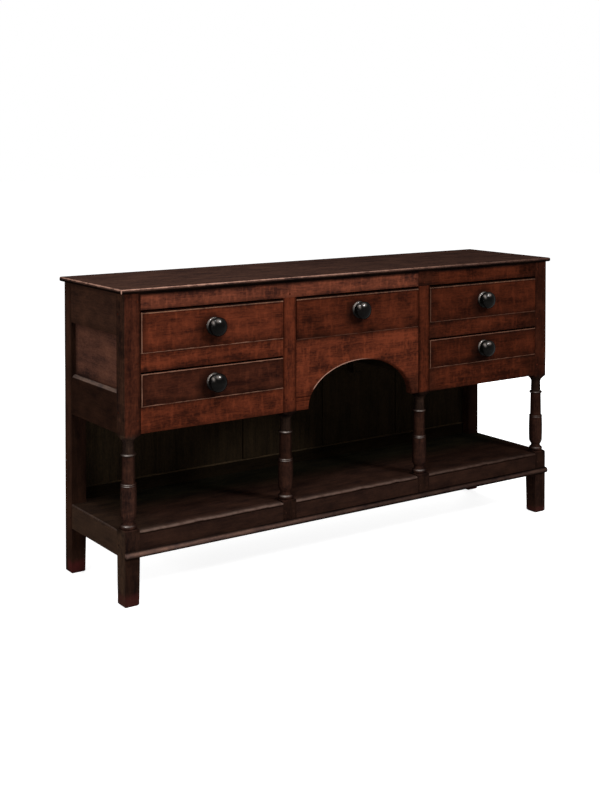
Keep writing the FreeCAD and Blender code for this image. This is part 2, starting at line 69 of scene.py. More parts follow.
# Heights above the pot board at which a leg's colour changes: in its double ring and at its collar
RINGS_LEVEL = 0.1205
COLLAR_LEVEL = 0.2022
# Turned members of a leg: the height above the pot board at which each starts and how tall it is,
# or, for a ring, the height of its middle and half of how tall it is
MEMBERS = {
    "shoulder": (0.0, 0.005),
    "foot_ring": (0.0115, 0.0062),
    "hollow": (0.018, 0.008),
    "barrel_foot": (0.026, 0.016),
    "barrel": (0.0425, 0.072),
    "lower_ring": (0.1178, 0.0022),
    "upper_ring": (0.1224, 0.0022),
    "shaft": (0.1255, 0.072),
    "collar": (COLLAR_LEVEL, 0.0036),
}
# Angle, seen from above, of the side on which the legs' rings carry a painted highlight: the front left
HIGHLIGHT_SIDE = math.radians(235)
# How far a knob stands out from its drawer's face
KNOB_REACH = 0.036


def shade(red, green, blue):
    """Scene-linear colour of a display colour given in steps of 0 to 255."""
    value = np.array((red, green, blue)) / 255.0
    return tuple(np.where(value <= 0.04045, value / 12.92, ((value + 0.055) / 1.055) ** 2.4))


def number(name, default, description, unit="NONE"):
    return FloatProperty(name=name, description=description, default=default, unit=unit, precision=4)


def length(name, default, description):
    return number(name, default, description, "LENGTH")


def colour(name, default, description):
    return FloatVectorProperty(
        name=name, description=description, default=shade(*default), size=3, subtype="COLOR", min=0.0, max=1.0
    )


class DresserSizes(PropertyGroup):
    """Sizes of the pieces that are shaped here."""

    arris: length("Arris", 0.0007, "How far the sawn edges are rubbed down")
    block: length("Leg block", 0.046, "Side of the square block at the shelf and of the foot")
    shelf_top: length("Shelf height", POT_BOARD[1][2], "Height of the pot board's upper face")
    frieze_bottom: length("Frieze height", APRON[0][2], "Height at which the drawers' frame starts")
    rail_bottom: length("Shelf rails", SHELF_RAILS[0][2], "Height of the lower edge of the shelf's rails")
    foot_taper: length("Foot taper", 0.0025, "How much narrower a foot is at the floor on its inner faces")
    foot_trim: length("Foot trim", 0.004, "How far a foot's edges are taken off at the floor")
    torus: length("Foot ring", 0.0222, "Radius of the ring above the block")
    hollow: length("Hollow", 0.015, "Radius at the bottom of the hollow above the foot ring")
    barrel: length("Barrel", 0.0222, "Largest radius of the lower, thicker length of the leg")
    bead: length("Double ring", 0.0217, "Radius of the pair of rings over the barrel")
    shaft_foot: length("Shaft foot", 0.0184, "Radius at the foot of the upper length of the leg")
    shaft_neck: length("Shaft neck", 0.0173, "Radius at the top of the upper length of the leg")
    collar: length("Collar", 0.0214, "Radius of the thin ring below the neck")
    neck: length("Neck", 0.0154, "Radius of the neck under the frieze")
    knob: length("Knob", 0.027, "Largest radius of a knob")
    knob_flange: length("Knob flange", 0.026, "Radius of a knob's flange against the drawer")
    shelf_wear: length("Shelf wear", 0.0055, "Depth of the deepest bite in the pot board's front edge")
    lift: length("Lift", 0.0045, "How much higher the front left leg's rings sit than the others'")
    arch_half: length("Arch half span", 0.195, "Half the span of the apron's arch")
    arch_rise: length("Arch rise", 0.126, "Height of the arch above the apron's feet")
    arch_offset: length("Arch offset", 0.009, "How far the arch lies to the right of the middle")
    round_steps: IntProperty(
        name="Steps round", description="Points round a turned piece", default=176, min=24
    )


class DresserColours(PropertyGroup):
    """Colours of the finishes."""

    # The top's colour also carries a painted sheen, greyer and bluer than the wood itself
    top: colour("Top", (64, 45, 39), "Waxed top boards")
    # Painted highlight, with some wear, on the top's nosing; also the arch's pale line of wear and highlight
    nosing_wear_and_highlight: colour("Nosing", (176, 134, 116), "Rubbed front edge of the top")
    frieze: colour("Frieze", (83, 39, 25), "Rails, stiles and drawer fronts")
    # Painted reflection: the frieze greyed at the left end; scaled down, it also darkens parts on the right
    reflection_greyed: colour("Reflection greyed frieze", (83, 44, 32), "Frieze at the left end, faded by the sun")
    side: colour("Sides", (54, 35, 27), "Rails of the two ends")
    panel: colour("Side panels", (76, 49, 40), "Panels of the two ends")
    flank: colour("Flanks", (53, 39, 31), "Left faces of the front left post and of the shelf")
    leg: colour("Legs", (52, 33, 27), "Turned lengths of the legs")
    shaft: colour("Shafts", (47, 29, 23), "Lengths of the legs between the rings, rubbed redder")
    neck: colour("Necks", (40, 29, 24), "Lengths of the legs below the frieze")
    # Painted highlight: pale grey on the rings' crests, also used for the knobs' highlights
    ring: colour("Rings", (176, 164, 156), "Crests of the turned rings, rubbed bright")
    # The pot board lip's wear with a painted highlight; also the painted highlight on the ends' rail chamfer
    lip_wear_and_highlight: colour("Lip", (150, 124, 112), "Rubbed front edge of the pot board")
    shelf: colour("Shelf", (39, 25, 20), "Pot board, its rails, and the legs' blocks and feet")
    # Pale painted highlight on the half-round moulding under the shelf
    moulding: colour("Moulding", (98, 75, 67), "Half-round moulding under the shelf, rubbed pale")
    back: colour("Back", (32, 25, 17), "Inner faces of the back")
    dry: colour("Dry wood", (98, 76, 58), "Unpolished outer faces of the back")
    lining: colour("Lining", (112, 80, 53), "Unpolished wood of the drawers' sides, backs and bottoms")
    knob: colour("Knobs", (8, 7, 6), "Ebonised knobs")
    # Pale colour of bare wood on rubbed edges, also the painted highlight on the drawers' beads
    worn: colour("Worn edge", (136, 98, 80), "Bare wood on rubbed edges")
    # Dark colour of old wax, also painted as shade under the top, in gaps, under the frieze and on leg sides
    grime: colour("Grime and shade", (16, 9, 7), "Old wax in corners")
    # Painted shade: the rear half of the pot board, in the shadow under the case
    painted_shade: colour("Painted shade", (21, 19, 13), "Old soot on the rear half of the pot board")
    stain: colour("Foot stain", (80, 34, 33), "Red stain at the bottom of the feet")


class DresserStage(PropertyGroup):
    """Camera and light."""

    camera_place: FloatVectorProperty(
        name="Camera",
        description="Place of the camera",
        default=(-2.3372, -3.2489, 1.2691),
        subtype="TRANSLATION",
    )
    turn: number("Turn", -34.836, "Camera's turn about the upright, in degrees")
    dip: number("Dip", 1.465, "Camera's dip below the horizon, in degrees")
    lens: number("Lens", 57.64, "Focal length in millimetres", "CAMERA")
    shift_x: number("Shift across", -0.0069, "Sideways shift of the frame")
    shift_y: number("Shift up", -0.289, "Upward shift of the frame")
    key: number("Key light", 82.0, "Power of the large soft lamp in front", "POWER")
    high: number("High light", 30.0, "Power of the soft lamp overhead", "POWER")
    left: number("Left light", 9.0, "Power of the weak lamp at the left end", "POWER")
    back: number("Back light", 55.0, "Power of the lamp behind the right end", "POWER")
    sky: number("Room light", 0.36, "Strength of the even light all round")


# Meshes


def sheet(name, grid, **attributes):
    """Mesh of a tube given as a grid of points: rows along its path, columns once round it.

    Each cell is a quad, the last column joins the first, and a face closes each end. Attributes hold one
    value a point."""
    rows, columns, _ = grid.shape
    index = np.arange(rows * columns).reshape(rows, columns)
    onward = np.roll(index, -1, axis=1)
    quads = np.stack([index[:-1], onward[:-1], onward[1:], index[1:]], axis=-1).reshape(-1, 4)
    faces = quads.tolist() + [index[0][::-1].tolist(), index[-1].tolist()]
    mesh = bpy.data.meshes.new(name)
    mesh.from_pydata(grid.reshape(-1, 3), [], faces)
    for key, values in attributes.items():
        layer = mesh.attributes.new(key, "FLOAT", "POINT")
        layer.data.foreach_set("value", np.ascontiguousarray(values, dtype=np.float32).ravel())
    mesh.polygons.foreach_set("use_smooth", np.ones(len(faces), dtype=bool))
    mesh.update()
    mesh.set_sharp_from_angle(angle=SHARP)
    return mesh


def place(name, mesh, material, body, slot, *nodes):
    """Puts a new piece into the scene on its body, in the stead of the nodes that it stands for."""
    piece = bpy.data.objects.new(name, mesh)
    bpy.context.scene.collection.objects.link(piece)
    mesh.materials.append(material)
    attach(piece, body)
    if nodes:
        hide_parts(*nodes)


def bump(u):
    """Half-round section over -1 to 1: the square root of one less u squared."""
    return np.sqrt(np.clip(1.0 - u * u, 0.0, 1.0))


def leg_outline(sizes, low_corner, high_corner, lift):
    """Heights, radii and painted highlight of the turned length, from the block's top to the frieze, as
    three arrays.

    The lower shoulder is a quarter ellipse, the hollow and the barrel's foot are quarters of a sine wave,
    rings are half-rounds on a straight foot, the lowest a little fuller, the barrel swells by a parabola,
    shaft and neck taper evenly, and the upper shoulder widens by a power. Rings carry a painted highlight
    by a bell curve up their section. lift is how much longer this barrel is than the others, since no two
    were turned alike."""
    foot, root, swell, neck_taper = 0.0175, 0.0202, 0.0007, 0.0008
    neck_z = sizes.shelf_top + lift + 0.2062
    shoulder_z, shoulder_tall = sizes.frieze_bottom - 0.024, 0.022
    t = np.linspace(0.0, 1.0, 16)
    u = np.linspace(-1.0, 1.0, 15)
    quarter = np.sin(t * np.pi / 2)
    crest = np.exp(-(((u - 0.3) / 0.45) ** 2))
    high_crest = np.exp(-(((u - 0.6) / 0.3) ** 2))
    parts = []

    def member(height, radius, wear=0.0):
        parts.append((height, radius, np.broadcast_to(wear, radius.shape)))

    def up(name, run):
        start, tall = MEMBERS[name]
        return sizes.shelf_top + start + tall * run

    member(up("shoulder", quarter), foot + (low_corner - foot) * quarter[::-1])
    member(up("foot_ring", u), foot + (sizes.torus - foot) * bump(u) ** 0.8, high_crest)
    member(up("hollow", t), foot - (foot - sizes.hollow) * quarter)
    barrel_edge = sizes.barrel - swell
    member(up("barrel_foot", t[1:]), sizes.hollow + (barrel_edge - sizes.hollow) * quarter[1:])
    member(up("barrel", t) + lift * t, sizes.barrel - swell * (2 * t - 1) ** 2)
    for ring in ("lower_ring", "upper_ring"):
        member(up(ring, u) + lift, root + (sizes.bead - root) * bump(u), crest)
    member(up("shaft", t) + lift, sizes.shaft_foot + (sizes.shaft_neck - sizes.shaft_foot) * t)
    member(up("collar", u) + lift, sizes.shaft_neck + (sizes.collar - sizes.shaft_neck) * bump(u), crest)
    member(neck_z + (shoulder_z - neck_z) * t, sizes.neck + neck_taper * (1 - t))
    member(shoulder_z + shoulder_tall * t[1:], sizes.neck + (high_corner - sizes.neck) * t[1:] ** 1.7)
    return tuple(np.concatenate(values) for values in zip(*parts))


def square_section(angle, right, left, back, front, sharpness=60.0):
    """Distance from the axis to a square section at each angle: a superellipse of that power, with its own
    reach on each of the four sides, so its corners are slightly rubbed down."""
    across = np.where(np.cos(angle) > 0, np.abs(np.cos(angle)) / right, np.abs(np.cos(angle)) / left)
    along = np.where(np.sin(angle) > 0, np.abs(np.sin(angle)) / back, np.abs(np.sin(angle)) / front)
    return (across**sharpness + along**sharpness) ** (-1.0 / sharpness)


def leg_mesh(name, sizes, axis, upper, foot_z, head_z, inner, lift=0.0):
    """Post as one surface of angle and height: the lesser of the square section's reach and the turned
    radius, by a sum of high negative powers that softens the line where they meet.

    upper gives the upper square's reach to the right, left, back and front of the axis. inner is the side,
    1 or -1, on which a foot tapers towards the floor, or 0 for a post that stops at the shelf rail. The
    rings carry a painted highlight on the side towards the front and left, by two bell curves of the angle.
    The sides away from there carry painted shade, by a smooth step of the angle's cosine, halved on the far
    side."""
    half = sizes.block / 2
    corner = math.hypot(half, half)
    across = np.array((upper[0], -upper[1], -upper[1], upper[0]))
    along = np.array((upper[2], upper[2], -upper[3], -upper[3]))
    arrises = np.concatenate([np.arctan2(along, across), np.arange(4) * np.pi / 2 + np.pi / 4])
    beside = (arrises[:, None] + np.array((-0.03, -0.012, 0.0, 0.012, 0.03))).ravel()
    even = np.linspace(0.0, 2 * np.pi, sizes.round_steps, endpoint=False)
    angle = np.unique(np.round(np.concatenate([even, beside]) % (2 * np.pi), 5))
    high_corner = math.hypot(max(upper[0], upper[1]), max(upper[2], upper[3]))
    heights, radii, wear = leg_outline(sizes, corner, high_corner, lift)
    trims = foot_z + sizes.foot_trim * np.array((0.0, 0.5, 1.0))
    low = np.concatenate([trims, np.linspace(foot_z + 0.01, sizes.shelf_top, 16)])
    high = np.linspace(sizes.frieze_bottom, head_z, 22)
    z = np.concatenate([low[:-1], heights, high[1:]])
    # Where a post is left square, the lathe's radius lies far outside it
    unturned = 1.0
    lathe = np.concatenate([np.full(len(low) - 1, unturned), radii, np.full(len(high) - 1, unturned)])
    rub = np.concatenate([np.zeros(len(low) - 1), wear, np.zeros(len(high) - 1)])
    turned = np.concatenate([np.zeros(len(low) - 1), np.ones(len(heights)), np.zeros(len(high) - 1)])
    # Painted highlight on the rings towards the front left, and painted shade on the sides away from it
    away = np.angle(np.exp(1j * (angle - HIGHLIGHT_SIDE)))
    highlight_spread = 0.5 * np.exp(-(((away + 0.12) / 0.22) ** 2)) + 0.5 * np.exp(-((away / 0.65) ** 2))
    step = np.clip((0.88 - np.cos(away)) / 0.58, 0.0, 1.0)
    painted_shading = step * step * (3.0 - 2.0 * step) * (1.0 - 0.5 * np.clip(-np.cos(away), 0.0, 1.0))
    taper = sizes.foot_taper * np.clip(1.0 - z / sizes.rail_bottom, 0.0, 1.0) * abs(inner)
    trim = np.clip(sizes.foot_trim - z, 0.0, sizes.foot_trim) * abs(inner)
    column = np.ones_like(z)[:, None]
    right = column * half - (trim + (taper if inner > 0 else 0.0))[:, None]
    left = column * half - (trim + (taper if inner < 0 else 0.0))[:, None]
    back = column * half - (trim + taper)[:, None]
    front = column * half - trim[:, None]
    below = (z < (sizes.shelf_top + sizes.frieze_bottom) / 2)[:, None]
    square = np.where(
        below,
        square_section(angle[None, :], right, left, back, front),
        square_section(angle[None, :], *(column * reach for reach in upper)),
    )
    power = 48.0
    radius = (square**-power + lathe[:, None] ** -power) ** (-1.0 / power)
    x = axis[0] + radius * np.cos(angle)
    y = axis[1] + radius * np.sin(angle)
    grid = np.stack(np.broadcast_arrays(x, y, z[:, None]), axis=-1)
    # The wear attribute holds the rings' painted highlight, the other one the painted shade of the far sides
    return sheet(name, grid, wear=rub[:, None] * highlight_spread, wax=turned[:, None] * painted_shading)


def knob_mesh(name, sizes, centre, face):
    """Knob turned about the line from the drawer to the front: a flange with a quarter-round edge, a hollow
    by a quarter of a sine wave, and a head whose section is an ellipse from just behind its widest place to
    the crown. Bell curves place the painted highlights at the top of the head and of the flange."""
    edge, edge_start, edge_tall = 0.0026, 0.0022, 0.003
    waist, waist_start, waist_tall = 0.0145, 0.0052, 0.0055
    widest, crown, tip = 0.0224, 0.0134, 0.0006
    t = np.linspace(0.0, 1.0, 10)
    bend = t * np.pi / 2
    rim = sizes.knob_flange - edge * (1 - np.cos(bend))
    flange = np.stack([rim, edge_start + edge_tall * np.sin(bend)], axis=-1)
    flange = np.concatenate([[(sizes.knob_flange, 0.0)], flange])
    throat = waist + (sizes.knob_flange - edge - waist) * (1 - np.sin(bend))
    hollow = np.stack([throat, waist_start + waist_tall * t], axis=-1)
    turn = np.linspace(math.radians(-54), math.radians(90), 34)[:-1]
    head = np.stack([sizes.knob * np.cos(turn), widest + crown * np.sin(turn)], axis=-1)
    outline = np.concatenate([flange, hollow, head, [(tip, widest + crown)]])
    angle = np.linspace(0.0, 2 * np.pi, 72, endpoint=False)
    radius, reach = outline[:, 0][:, None], outline[:, 1][:, None]
    across, up = radius * np.cos(angle), radius * np.sin(angle)
    u, v = across / sizes.knob, up / sizes.knob
    # Painted highlights on the head and the flange, carried in the mesh's wear attribute
    on_head = np.exp(-(((u + 0.22) / 0.22) ** 2) - ((v - 0.68) / 0.13) ** 2)
    on_head = on_head + 1.1 * np.exp(-(((u + 0.76) / 0.10) ** 2) - ((v - 0.54) / 0.18) ** 2)
    on_flange = 1.3 * np.exp(-(((angle - math.radians(136)) / 0.55) ** 2)) * np.ones_like(radius)
    rows = np.arange(len(outline))[:, None]
    wear = np.where(rows < len(flange), on_flange, np.where(rows < len(flange) + len(hollow), 0.0, on_head))
    grid = np.stack(np.broadcast_arrays(centre[0] + across, face - reach, centre[2] + up), axis=-1)
    return sheet(name, grid, wear=wear)


def knob_centre(name):
    low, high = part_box("drawer_" + name + "_knob")
    return [(a + b) / 2 for a, b in zip(low, high)]


def worn_edge(x, depth):
    """How far the pot board's front edge wears back at each x: slow waves, and a few bites with one steep
    side, each given by its place, its width and its share of the depth."""
    bites = (
        (-0.55, 0.012, 0.9), (-0.40, 0.020, 0.5), (-0.33, 0.010, 0.7), (0.02, 0.018, 0.6),
        (0.15, 0.010, 0.9), (0.36, 0.022, 0.6), (0.52, 0.010, 1.0), (0.62, 0.016, 0.5),
    )
    back = 0.12 * (1.0 + np.sin(x * 31.0)) + 0.10 * (1.0 + np.sin(x * 83.0 + 1.0)) + 0.05 * np.sin(x * 210.0)
    for centre, width, share in bites:
        back = back + share * np.exp(-(((x - centre) / width) ** 2) * np.where(x > centre, 4.0, 0.25))
    return depth * np.clip(back, 0.0, 1.0)


def pot_board_mesh(name, sizes):
    """Front board of the shelf: a board's section carried along x, whose front edge follows the wear and
    steps back round the leg blocks. The upper arris is a quarter round, and the face dips a little towards
    it."""
    (x0, y0, z0), (x1, y1, z1) = POT_BOARD
    half = sizes.block / 2
    stile = np.mean([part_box("post_middle_right")[i][0] for i in (0, 1)])
    centres = np.array((x0 + half, -stile, stile, x1 - half))
    edges = np.sort(np.concatenate([centres - half, centres + half]))[1:-1]
    runs = np.concatenate([np.linspace(x0, x1, 900), edges - HAIR, edges + HAIR])
    x = np.unique(runs)
    notched = (np.abs(x[:, None] - centres[None, :]) <= half + HAIR / 2).any(axis=1)
    front = np.where(notched, y0 + sizes.block, y0 + worn_edge(x, sizes.shelf_wear))
    rounding, dip = 0.0032, 0.0012
    turn = np.linspace(0.0, np.pi / 2, 7)
    inward = np.concatenate([(0.06, 0.03, 0.014, 0.007), rounding * (1 - np.sin(turn)), (0.0, 0.0)])
    upper_face = (z1, z1, z1 - 0.0003, z1 - 0.0008)
    arris = z1 - dip - rounding * (1 - np.cos(turn))
    height = np.concatenate([upper_face, arris, (z0 + 0.003, z0)])
    rub = np.concatenate([(0.0, 0.0, 0.15, 0.5), np.ones_like(turn), (0.0, 0.0)])
    y = front[:, None] + inward[None, :]
    rear = np.full((len(x), 1), y1)
    y = np.concatenate([rear, y, rear], axis=1)
    z = np.concatenate([(z1,), height, (z0,)])
    rub = np.concatenate([(0.0,), rub, (0.0,)])
    grid = np.stack(np.broadcast_arrays(x[:, None], y, z[None, :]), axis=-1)
    # The lip's wear and painted highlight fade to the right, a painted fall-off of light, and stop at notches
    fading = np.interp(x, (-0.75, 0.0, 0.3, 0.75), (1.0, 0.72, 0.42, 0.15))
    fading = np.where(notched, 0.0, fading)
    return sheet(name, grid, wear=fading[:, None] * rub[None, :])


# Finishes


class Wiring:
    """Adds nodes to a node tree and links their sockets."""

    def __init__(self, tree):
        self.tree = tree

    def add(self, kind, inputs=(), **settings):
        node = self.tree.nodes.new(kind)
        for key, value in settings.items():
            setattr(node, key, value)
        for key, value in dict(inputs).items():
            if isinstance(value, bpy.types.NodeSocket):
                self.tree.links.new(value, node.inputs[key])
            else:
                node.inputs[key].default_value = value
        return node

    def math(self, operation, *values):
        return self.add("ShaderNodeMath", dict(enumerate(values)), operation=operation).outputs[0]

    def vector(self, operation, a, b, result="Vector"):
        return self.add("ShaderNodeVectorMath", {0: a, 1: b}, operation=operation).outputs[result]

    def stretch(self, vector, scale):
        return self.vector("MULTIPLY", vector, scale)

    def attribute(self, name):
        return self.add("ShaderNodeAttribute", attribute_name=name).outputs["Fac"]

    def noise(self, vector, scale, detail=3.0):
        inputs = {"Vector": self.stretch(vector, scale), "Scale": 1.0, "Detail": detail}
        return self.add("ShaderNodeTexNoise", inputs).outputs[0]

    def mix(self, factor, a, b, blend="MIX"):
        inputs = {0: factor, 6: a, 7: b}
        return self.add("ShaderNodeMix", inputs, data_type="RGBA", blend_type=blend).outputs[2]

    def fade(self, value, start, end, low=1.0, high=0.0):
        inputs = {"Value": value, "From Min": start, "From Max": end, "To Min": low, "To Max": high}
        return self.add("ShaderNodeMapRange", inputs, interpolation_type="SMOOTHSTEP").outputs[0]

    def group(self, name, **inputs):
        named = {key.replace("_", " "): value for key, value in inputs.items()}
        return self.add("ShaderNodeGroup", named, node_tree=bpy.data.node_groups[name]).outputs

    def link(self, value, socket):
        self.tree.links.new(value, socket)


def new_material(name):
    """A new material. Returns it, its wiring and its shader's sockets."""
    material = bpy.data.materials.new(name)
    material.use_nodes = True
    return material, Wiring(material.node_tree), material.node_tree.nodes["Principled BSDF"].inputs


def new_group(name, inputs, outputs):
    """Empty shader node group with named sockets. Returns its wiring and the sockets of its two ends."""
    tree = bpy.data.node_groups.new(name, "ShaderNodeTree")
    for direction, sockets in (("INPUT", inputs), ("OUTPUT", outputs)):
        for socket, kind in sockets.items():
            tree.interface.new_socket(name=socket, in_out=direction, socket_type="NodeSocket" + kind)
    wiring = Wiring(tree)
    return wiring, wiring.add("NodeGroupInput").outputs, wiring.add("NodeGroupOutput").inputs


def make_oak_grain():
    """Oak with its grain along x: long streaks, fine pores, flecks, pale rays across them and clouded old
    polish."""
    w, given, made = new_group(
        "Oak grain",
        {"Vector": "Vector", "Base": "Color", "Contrast": "Float", "Mottle": "Float", "Rays": "Float"},
        {"Color": "Color", "Roughness": "Float", "Height": "Float"},
    )
    vector = given["Vector"]
    streak = w.noise(vector, (4.0, 60.0, 60.0), 4.0)
    pores = w.noise(vector, (22.0, 420.0, 420.0), 2.0)
    fleck = w.noise(vector, (95.0, 190.0, 190.0), 3.0)
    cloud = w.noise(vector, (13.0, 26.0, 26.0), 3.0)
    lines = w.math("MULTIPLY_ADD", streak, 1.0, -0.5)
    lines = w.math("ADD", lines, w.math("MULTIPLY_ADD", pores, 0.9, -0.45))
    lines = w.math("ADD", lines, w.math("MULTIPLY_ADD", fleck, 1.0, -0.5))
    lines = w.math("MULTIPLY", lines, given["Contrast"])
    across = w.fade(w.noise(vector, (85.0, 26.0, 26.0), 2.0), 0.48, 0.7, -0.2, 0.8)
    lines = w.math("ADD", lines, w.math("MULTIPLY", across, given["Rays"]))
    patches = w.math("MULTIPLY", w.math("MULTIPLY_ADD", cloud, 2.6, -1.3), given["Mottle"])
    tone = w.add("ShaderNodeClamp", {0: w.math("ADD", w.math("ADD", lines, patches), 0.5)}).outputs[0]
    dark = w.mix(1.0, given["Base"], (0.40, 0.46, 0.56, 1.0), "MULTIPLY")
    light = w.mix(1.0, given["Base"], (1.72, 1.62, 1.46, 1.0), "MULTIPLY")
    w.link(w.mix(tone, dark, light), made["Color"])
    w.link(w.math("MULTIPLY_ADD", cloud, 0.22, 0.34), made["Roughness"])
    w.link(w.math("MULTIPLY_ADD", pores, 0.6, w.math("MULTIPLY", streak, 0.6)), made["Height"])


def make_worn_edges():
    """Masks for a board given by its two corners: edge wear and painted highlight along its edges, and grime
    and painted shade in a wider band beside them.

    The distance to the nearest edge is the middle one of the distances to the nearest faces along the three
    axes."""
    w, given, made = new_group(
        "Worn edges",
        {
            "Vector": "Vector",
            "Low": "Vector",
            "High": "Vector",
            "Worn width": "Float",
            "Grime width": "Float",
        },
        {"Wear and highlight": "Float", "Grime and shade": "Float"},
    )
    below = w.vector("SUBTRACT", given["Vector"], given["Low"])
    above = w.vector("SUBTRACT", given["High"], given["Vector"])
    near = w.vector("MINIMUM", below, above)
    x, y, z = w.add("ShaderNodeSeparateXYZ", {0: near}).outputs
    middle = w.math("MAXIMUM", w.math("MINIMUM", x, y), w.math("MINIMUM", w.math("MAXIMUM", x, y), z))
    patchy = w.noise(given["Vector"], (38.0, 38.0, 38.0), 3.0)
    width = w.math("MULTIPLY", given["Worn width"], w.math("MULTIPLY_ADD", patchy, 2.2, -0.1))
    w.link(w.fade(middle, w.math("MULTIPLY", width, 0.4), width), made["Wear and highlight"])
    band = w.fade(middle, 0.0, given["Grime width"])
    slow = w.noise(given["Vector"], (11.0, 11.0, 11.0), 3.0)
    w.link(w.math("MULTIPLY", band, w.math("MULTIPLY_ADD", slow, 1.6, -0.1)), made["Grime and shade"])


# Turns that lay the grain, which runs along x in its group, along each axis
TURNS = {"x": (0.0, 0.0, 0.0), "y": (0.0, 0.0, -math.pi / 2), "z": (0.0, math.pi / 2, 0.0)}
# Places on y between which the stain of a foot fades, so that the back stays dry
STAIN_ENDS = (0.17, 0.2)


def solid(value):
    return (value[0], value[1], value[2], 1.0)


def scaled(value, share):
    return [share * c for c in value]


def oak(
    name, base, axis, tone=1.0, contrast=0.55, mottle=0.55, rays=0.0, box=None, worn=0.0, worn_width=0.0016,
    worn_paint=None, grime=0.0, grime_width=0.02, rubbed=0.0, turned=False, zones=(), fading=None, foot=None,
    knob=None, arch=False,
):
    """An oak finish.

    axis is the way of the grain, and tone scales the colour.
    contrast, mottle and rays set how strong its lines, its clouds and the rays across them are.
    box holds the corners from which edge wear and painted highlight, and grime and painted shade beside them,
    are measured.
    rubbed paints the piece's own wear attribute, which holds wear and painted highlight, and turned adds
    painted shade on the far sides of a turned piece and a coat where its rings carry a painted highlight.
    zones lists an axis, a level on it, how softly the colour changes there, the colour below it, or above it
    where that softness is less than nought, and at times a height that it stays above.
    fading gives the two ends of a painted fall-off of light along x, and the shares of colour and of edge
    wear and painted highlight left at the second.
    foot gives the height and strength of the stain at the floor.
    knob is a place with a dark patch beside it, and arch paints the left of the arch's edge pale with wear
    and painted highlight."""
    colours = bpy.context.scene.dresser_colours
    material, w, sockets = new_material(name)
    place_of = w.add("ShaderNodeTexCoord").outputs["Object"]
    seed = sum(name.encode()) % 97
    grain_place = w.add(
        "ShaderNodeMapping",
        {"Vector": place_of, "Location": (0.31 * seed, 0.17 * seed, 0.23 * seed), "Rotation": TURNS[axis]},
    ).outputs[0]
    shade_of = solid(scaled(base, tone))
    along = dict(zip("xyz", w.add("ShaderNodeSeparateXYZ", {0: place_of}).outputs))
    for way, level, softness, tint, *limit in zones:
        share = w.fade(along[way], level - softness, level + softness)
        for bottom in limit:
            share = w.math("MULTIPLY", share, w.fade(along["z"], bottom - 0.001, bottom, 0.0, 1.0))
        shade_of = w.mix(share, shade_of, solid(tint))
    # Painted fall-off of light: darker towards the right, with the edge wear and highlight dimmed there too
    if fading:
        start, end, colour_left, wear_and_highlight_left = fading
        painted_shading = w.fade(along["x"], start, end, 1.0, colour_left)
        shade_of = w.mix(painted_shading, (0.0, 0.0, 0.0, 1.0), shade_of)
    grain = w.group(
        "Oak grain", Vector=grain_place, Base=shade_of, Contrast=contrast, Mottle=mottle, Rays=rays
    )
    paint = grain["Color"]
    if foot:
        tall, strength = foot
        ragged = w.math("MULTIPLY_ADD", w.noise(place_of, (70.0, 70.0, 25.0)), 0.5 * tall, 0.75 * tall)
        stained = w.fade(along["z"], w.math("MULTIPLY", ragged, 0.55), ragged, strength, 0.0)
        stained = w.math("MULTIPLY", stained, w.fade(along["y"], *STAIN_ENDS))
        paint = w.mix(stained, paint, solid(colours.stain))
    if knob is not None:
        aside, lower, near, far, strength = 0.012, 0.010, 0.024, 0.062, 0.7
        flat = w.stretch(place_of, (1.0, 0.0, 1.0))
        away = w.vector("DISTANCE", flat, (knob[0] - aside, 0.0, knob[2] - lower), "Value")
        paint = w.mix(w.math("MULTIPLY", w.fade(away, near, far), strength), paint, solid(colours.grime))
    if box is not None:
        edges = w.group(
            "Worn edges",
            Vector=place_of,
            Low=box[0],
            High=box[1],
            Worn_width=worn_width,
            Grime_width=grime_width,
        )
        paint = w.mix(w.math("MULTIPLY", edges["Grime and shade"], grime), paint, solid(colours.grime))
        amount = w.math("MULTIPLY", edges["Wear and highlight"], worn)
        if fading:
            amount = w.math("MULTIPLY", amount, w.fade(along["x"], start, end, 1.0, wear_and_highlight_left))
        paint = w.mix(amount, paint, solid(worn_paint or colours.worn))
    # The mesh's wear attribute: wear and painted highlight on the pot board's lip, painted highlight on rings
    if rubbed:
        wear = w.attribute("wear")
        patchy = w.fade(w.noise(place_of, (40.0, 40.0, 40.0)), 0.3, 0.6, 0.55, 1.0)
        amount = w.math("MULTIPLY", w.math("MULTIPLY", wear, patchy), rubbed)
        paint = w.mix(amount, paint, solid(worn_paint or colours.worn))
    # Painted shade on the far sides of turned pieces, and a coat where the rings carry their painted
    # highlight
    if turned:
        wax = w.attribute("wax")
        paint = w.mix(w.math("MULTIPLY", wax, 0.7), paint, solid(colours.grime))
        w.link(w.math("MULTIPLY", amount, 0.8), sockets["Coat Weight"])
        sockets["Coat Roughness"].default_value = 0.16
    if arch:
        paint = w.mix(arch_wear_and_highlight(w, along), paint, solid(colours.nosing_wear_and_highlight))
    w.link(paint, sockets["Base Color"])
    w.link(grain["Roughness"], sockets["Roughness"])
    sockets["Specular IOR Level"].default_value = 0.0
    relief = w.add("ShaderNodeBump", {"Strength": 0.25, "Distance": 0.0006, "Height": grain["Height"]})
    w.link(relief.outputs[0], sockets["Normal"])
    return material


